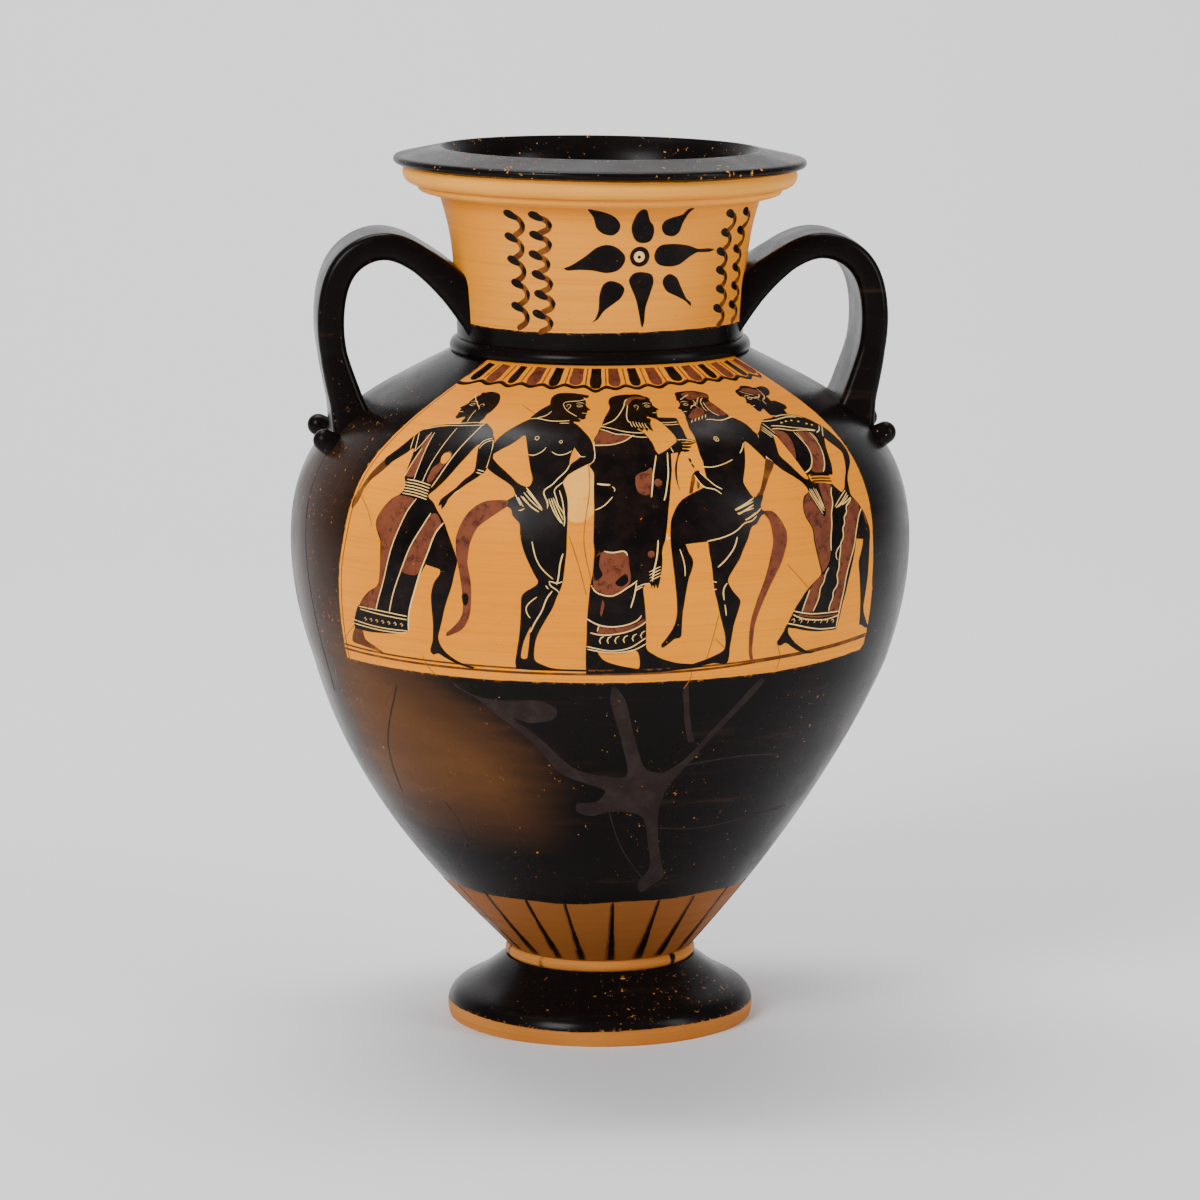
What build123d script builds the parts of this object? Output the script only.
from build123d import *
import math
import os

# Neck-amphora, a two-handled storage jar thrown on the wheel in sections and joined when
# leather hard.  Millimetres, +Z up, origin at the centre of the foot's resting face.
# The handles stand on the X axis and the painted front faces -Y.

os.makedirs("parts", exist_ok=True)

# ---- driving dimensions -------------------------------------------------------------
height = 380.0            # foot face to the ridge of the mouth
belly_r = 134.2           # greatest radius of the body
belly_z = 211.0           # height of the greatest radius
wall = 6.0                # thickness of the thrown walls

foot_r = 66.9             # widest part of the foot's edge
foot_face_r = 66.2        # outer edge of the resting face
foot_top_z = 26.4         # flat top of the foot, which carries the body
foot_top_r = 41.6
foot_ring_width = 9.0     # width of the resting ring
foot_hollow_z = 15.0      # height of the hollow under the foot
foot_hollow_top_r = 20.0

stem_r = 38.0             # stub under the body, inside the fillet
fillet_top_z = 31.3       # top of the clay fillet round the stem
fillet_r = 41.6           # greatest radius of the fillet
fillet_edge_r = 40.0      # radius of its two edges

joint_z = 293.8           # shoulder's flat top, where the neck stands
shoulder_top_r = 63.6
neck_base_r = 61.6
neck_waist_r = 61.7       # narrowest part of the neck
neck_waist_z = 303.0
neck_top_r = 69.2
neck_top_z = 360.0

collar_top_z = 299.4      # collar ring at the foot of the neck
collar_r = 64.6           # its greatest radius
collar_mid_z = 296.3

mouth_under_r = 76.4      # flat underside of the mouth, outside the neck
mouth_under_z = 361.0
mouth_ring_r = 78.3       # small moulding under the mouth
mouth_ring_z = 362.4
mouth_groove_r = 77.4
mouth_groove_z = 364.8
torus_r = 84.7            # large round moulding
torus_z = 368.2
lip_under_r = 84.0
lip_under_z = 371.8
lip_lower_r = 86.8        # lower corner of the lip
lip_lower_z = 372.8
lip_r = 88.6              # outer edge of the lip
lip_z = 375.2
lip_upper_r = 87.4        # upper corner of the lip
lip_upper_z = 376.2
ridge_outer_r = 70.4      # where the flat top meets the rounded ridge
ridge_outer_z = 379.8
mouth_ridge_r = 68.4      # highest ring, where the top turns down into the mouth

handle_width = 43.0       # strap handles, almost rectangular in section
handle_thick = 11.5
handle_soft_edge = 3.0
handle_neck_width = 45.0  # spread of the upper root in the neck
handle_neck_thick = 19.0
handle_root_width = 50.0  # spread of the lower root in the shoulder
handle_root_thick = 21.0

knob_r = 4.8              # clay pellets at the corners of the lower roots
knob_x = 120.6
knob_y = 25.5
knob_z = 258.4
knob_rise = 30.0          # tilt of the pellet's axis above level, degrees
knob_depth = 9.0          # length pressed into the corner
knob_root_r = 6.0

# ---- profiles -----------------------------------------------------------------------
# Outer line of the body from the stem to the neck joint, in (radius, height).
body_line = [
    (fillet_edge_r, fillet_top_z),
    (57.4, 50.5),
    (81.2, 79.8),
    (104.3, 115.4),
    (123.8, 157.5),
    (belly_r, belly_z),
    (127.6, 245.1),
    (109.9, 267.1),
    (84.0, 283.3),
    (shoulder_top_r, joint_z),
]
body_start_angle = 49.0   # slope of the wall where it leaves the stem, degrees from flat
body_end_angle = 155.0    # slope where the shoulder meets the neck

# Inner line of the body, one wall thickness inside the outer one.
cavity_floor_z = 39.5
cavity_line = [
    (14.0, cavity_floor_z),
    (34.0, 42.6),
    (54.4, 57.0),
    (76.8, 84.1),
    (99.4, 118.9),
    (118.2, 160.0),
    (belly_r - wall, belly_z),
    (122.0, 242.6),
    (106.4, 261.7),
    (81.4, 277.6),
    (neck_base_r - wall, 286.8),
]

# Outer line of the neck, a slow flare to the mouth.
neck_line = [
    (neck_base_r, joint_z),
    (neck_waist_r, neck_waist_z),
    (62.6, 322.0),
    (65.6, 346.9),
    (neck_top_r, neck_top_z),
]

# Upper surface of the foot, from the stem out to the rounded edge.
foot_line = [
    (foot_top_r, foot_top_z),
    (48.0, 21.6),
    (54.0, 17.4),
    (60.0, 14.2),
    (64.6, 10.9),
    (foot_r, 5.6),
    (foot_face_r, 0.0),
]

# Inside of the mouth, from the ridge down to the throat.
mouth_inside_line = [
    (mouth_ridge_r, height),
    (65.6, 376.0),
    (62.6, 368.0),
    (neck_top_r - wall - 1.2, neck_top_z),
]


def slope(degrees):
    """Unit direction in the profile plane, measured from the radius towards +Z."""
    return (math.cos(math.radians(degrees)), math.sin(math.radians(degrees)))


# ---- body ---------------------------------------------------------------------------
# Thrown body with its shoulder: a closed base with a short stem, open at the neck joint.
with BuildPart() as body:
    with BuildSketch(Plane.XZ):
        with BuildLine():
            Spline(*body_line, tangents=(slope(body_start_angle), slope(body_end_angle)))
            Line((shoulder_top_r, joint_z), (neck_base_r - wall, joint_z))
            Line((neck_base_r - wall, joint_z), cavity_line[-1])
            Spline(*cavity_line)
            Polyline(
                cavity_line[0], (0, cavity_floor_z), (0, foot_top_z), (stem_r, foot_top_z),
                (stem_r, fillet_top_z), body_line[0],
            )
        make_face()
    revolve(axis=Axis.Z)
body.part.label = "body"

# ---- neck ---------------------------------------------------------------------------
# Thrown neck, open at both ends, set on the flat top of the shoulder.
with BuildPart() as neck:
    with BuildSketch(Plane.XZ):
        with BuildLine():
            Spline(*neck_line)
            Line(neck_line[-1], mouth_inside_line[-1])
            Spline(
                mouth_inside_line[-1], (neck_waist_r - wall, neck_waist_z + 10),
                (neck_base_r - wall, joint_z),
            )
            Line((neck_base_r - wall, joint_z), neck_line[0])
        make_face()
    revolve(axis=Axis.Z)
neck.part.label = "neck"

# ---- mouth --------------------------------------------------------------------------
# Wide mouth turned as one ring: a small ring and a torus outside, and a flat lip on top.
with BuildPart() as mouth:
    with BuildSketch(Plane.XZ):
        with BuildLine():
            Line(mouth_inside_line[-1], neck_line[-1])
            ThreePointArc(
                neck_line[-1], (mouth_under_r - 1.8, mouth_under_z - 0.6), (mouth_under_r, mouth_under_z),
            )
            ThreePointArc(
                (mouth_under_r, mouth_under_z), (mouth_ring_r, mouth_ring_z), (mouth_groove_r, mouth_groove_z),
            )
            ThreePointArc((mouth_groove_r, mouth_groove_z), (torus_r, torus_z), (lip_under_r, lip_under_z))
            Line((lip_under_r, lip_under_z), (lip_lower_r, lip_lower_z))
            ThreePointArc((lip_lower_r, lip_lower_z), (lip_r, lip_z), (lip_upper_r, lip_upper_z))
            Line((lip_upper_r, lip_upper_z), (ridge_outer_r, ridge_outer_z))
            ThreePointArc((ridge_outer_r, ridge_outer_z), (mouth_ridge_r + 1, height), mouth_inside_line[0])
            Spline(*mouth_inside_line)
        make_face()
    revolve(axis=Axis.Z)
mouth.part.label = "mouth"

# ---- neck collar --------------------------------------------------------------------
# Half-round ring of clay that seals the joint between neck and shoulder.
with BuildPart() as neck_collar:
    with BuildSketch(Plane.XZ):
        with BuildLine():
            Line((neck_base_r - 1, joint_z), (shoulder_top_r, joint_z))
            ThreePointArc((shoulder_top_r, joint_z), (collar_r, collar_mid_z), (neck_waist_r + 0.4, collar_top_z))
            Line((neck_waist_r + 0.4, collar_top_z), (neck_base_r - 1, collar_top_z))
            Line((neck_base_r - 1, collar_top_z), (neck_base_r - 1, joint_z))
        make_face()
    revolve(axis=Axis.Z)
    add(neck.part, mode=Mode.SUBTRACT)
neck_collar.part.label = "neck_collar"

# ---- foot ---------------------------------------------------------------------------
# Disc foot with a hollow underside; it stands on the ring round that hollow.
with BuildPart() as foot:
    with BuildSketch(Plane.XZ):
        with BuildLine():
            Line((0, foot_top_z), foot_line[0])
            Spline(*foot_line)
            Line((foot_face_r, 0), (foot_face_r - foot_ring_width, 0))
            ThreePointArc(
                (foot_face_r - foot_ring_width, 0), (44.0, 9.0), (foot_hollow_top_r, foot_hollow_z),
            )
            Line((foot_hollow_top_r, foot_hollow_z), (0, foot_hollow_z))
            Line((0, foot_hollow_z), (0, foot_top_z))
        make_face()
    revolve(axis=Axis.Z)
foot.part.label = "foot"

# ---- foot fillet --------------------------------------------------------------------
# Thin ring of clay round the stem, where the body meets its foot.
with BuildPart() as foot_fillet:
    with BuildSketch(Plane.XZ):
        with BuildLine():
            Line((stem_r, foot_top_z), (fillet_edge_r, foot_top_z))
            ThreePointArc(
                (fillet_edge_r, foot_top_z), (fillet_r, (foot_top_z + fillet_top_z) / 2),
                (fillet_edge_r, fillet_top_z),
            )
            Line((fillet_edge_r, fillet_top_z), (stem_r, fillet_top_z))
            Line((stem_r, fillet_top_z), (stem_r, foot_top_z))
        make_face()
    revolve(axis=Axis.Z)
foot_fillet.part.label = "foot_fillet"

# ---- handles ------------------------------------------------------------------------
# Solid of everything inside the vessel's outer line; handles and knobs are cut to it.
with BuildPart() as vessel_mass:
    with BuildSketch(Plane.XZ):
        with BuildLine():
            Spline(*body_line, tangents=(slope(body_start_angle), slope(body_end_angle)))
            Line((shoulder_top_r, joint_z), neck_line[0])
            Spline(*neck_line)
            Polyline(neck_line[-1], (0, neck_top_z), (0, fillet_top_z), body_line[0])
        make_face()
    revolve(axis=Axis.Z)

# Middle line of the strap, from inside the neck wall over the bend to inside the shoulder.
strap_line = [
    (50.0, 306.0),
    (63.0, 320.5),
    (77.8, 333.0),
    (94.0, 339.3),
    (109.7, 332.3),
    (116.5, 315.0),
    (115.8, 294.0),
    (111.2, 276.0),
    (106.0, 256.0),
]

# Share of that line, width and thickness of the strap there.
strap_sections = [
    (0.0, handle_neck_width, handle_neck_thick),
    (0.13, handle_width + 1.0, handle_thick + 3.0),
    (0.26, handle_width, handle_thick),
    (0.50, handle_width, handle_thick),
    (0.74, handle_width, handle_thick),
    (0.88, handle_width + 2.0, handle_thick + 3.0),
    (1.0, handle_root_width, handle_root_thick),
]


def strap_plane(point, direction):
    """Plane across the strap: its x axis runs along the width, its normal along the strap."""
    return Plane(
        origin=(point[0], 0, point[1]), x_dir=(0, 1, 0), z_dir=(direction[0], 0, direction[1])
    )


with BuildPart() as handle_right:
    with BuildLine(Plane.XZ) as strap_path:
        Spline(*strap_line)
    for share, width, thick in strap_sections:
        place = strap_path.line @ share
        heading = strap_path.line % share
        with BuildSketch(strap_plane((place.X, place.Z), (heading.X, heading.Z))):
            RectangleRounded(width, thick, handle_soft_edge)
    sweep(path=strap_path.line, multisection=True)
    add(vessel_mass.part, mode=Mode.SUBTRACT)
handle_right.part.label = "handle_right"

with BuildPart() as handle_left:
    add(handle_right.part)
    mirror(about=Plane.YZ, mode=Mode.REPLACE)
handle_left.part.label = "handle_left"

# ---- knobs --------------------------------------------------------------------------
# Four pellets of clay pressed on at the outer corners of the handles' lower roots, each a
# short round-ended stud that stands out from the shoulder.
knob_out = slope(knob_rise)
knobs = {}
for end, sign_y in (("front", -1), ("back", 1)):
    knob_centre = (knob_x, sign_y * knob_y, knob_z)
    across = Plane(origin=knob_centre, x_dir=(-knob_out[1], 0, knob_out[0]), z_dir=(0, 1, 0))
    with BuildPart() as knob_right:
        with BuildSketch(across):
            with BuildLine():
                Polyline((0, knob_r), (0, -knob_depth), (knob_root_r, -knob_depth), (knob_r, 0))
                RadiusArc((knob_r, 0), (0, knob_r), -knob_r)
            make_face()
        revolve(axis=Axis(knob_centre, (knob_out[0], 0, knob_out[1])))
        add(vessel_mass.part, mode=Mode.SUBTRACT)
        add(handle_right.part, mode=Mode.SUBTRACT)
    with BuildPart() as knob_left:
        add(knob_right.part)
        mirror(about=Plane.YZ, mode=Mode.REPLACE)
    for side, knob in (("right", knob_right), ("left", knob_left)):
        knob.part.label = f"knob_{side}_{end}"
        knobs[knob.part.label] = knob

# ---- one file for each piece --------------------------------------------------------
for piece in (body, neck, mouth, neck_collar, foot, foot_fillet, handle_left, handle_right):
    export_step(piece.part, f"parts/{piece.part.label}.step")
for label, knob in knobs.items():
    export_step(knob.part, f"parts/{label}.step")
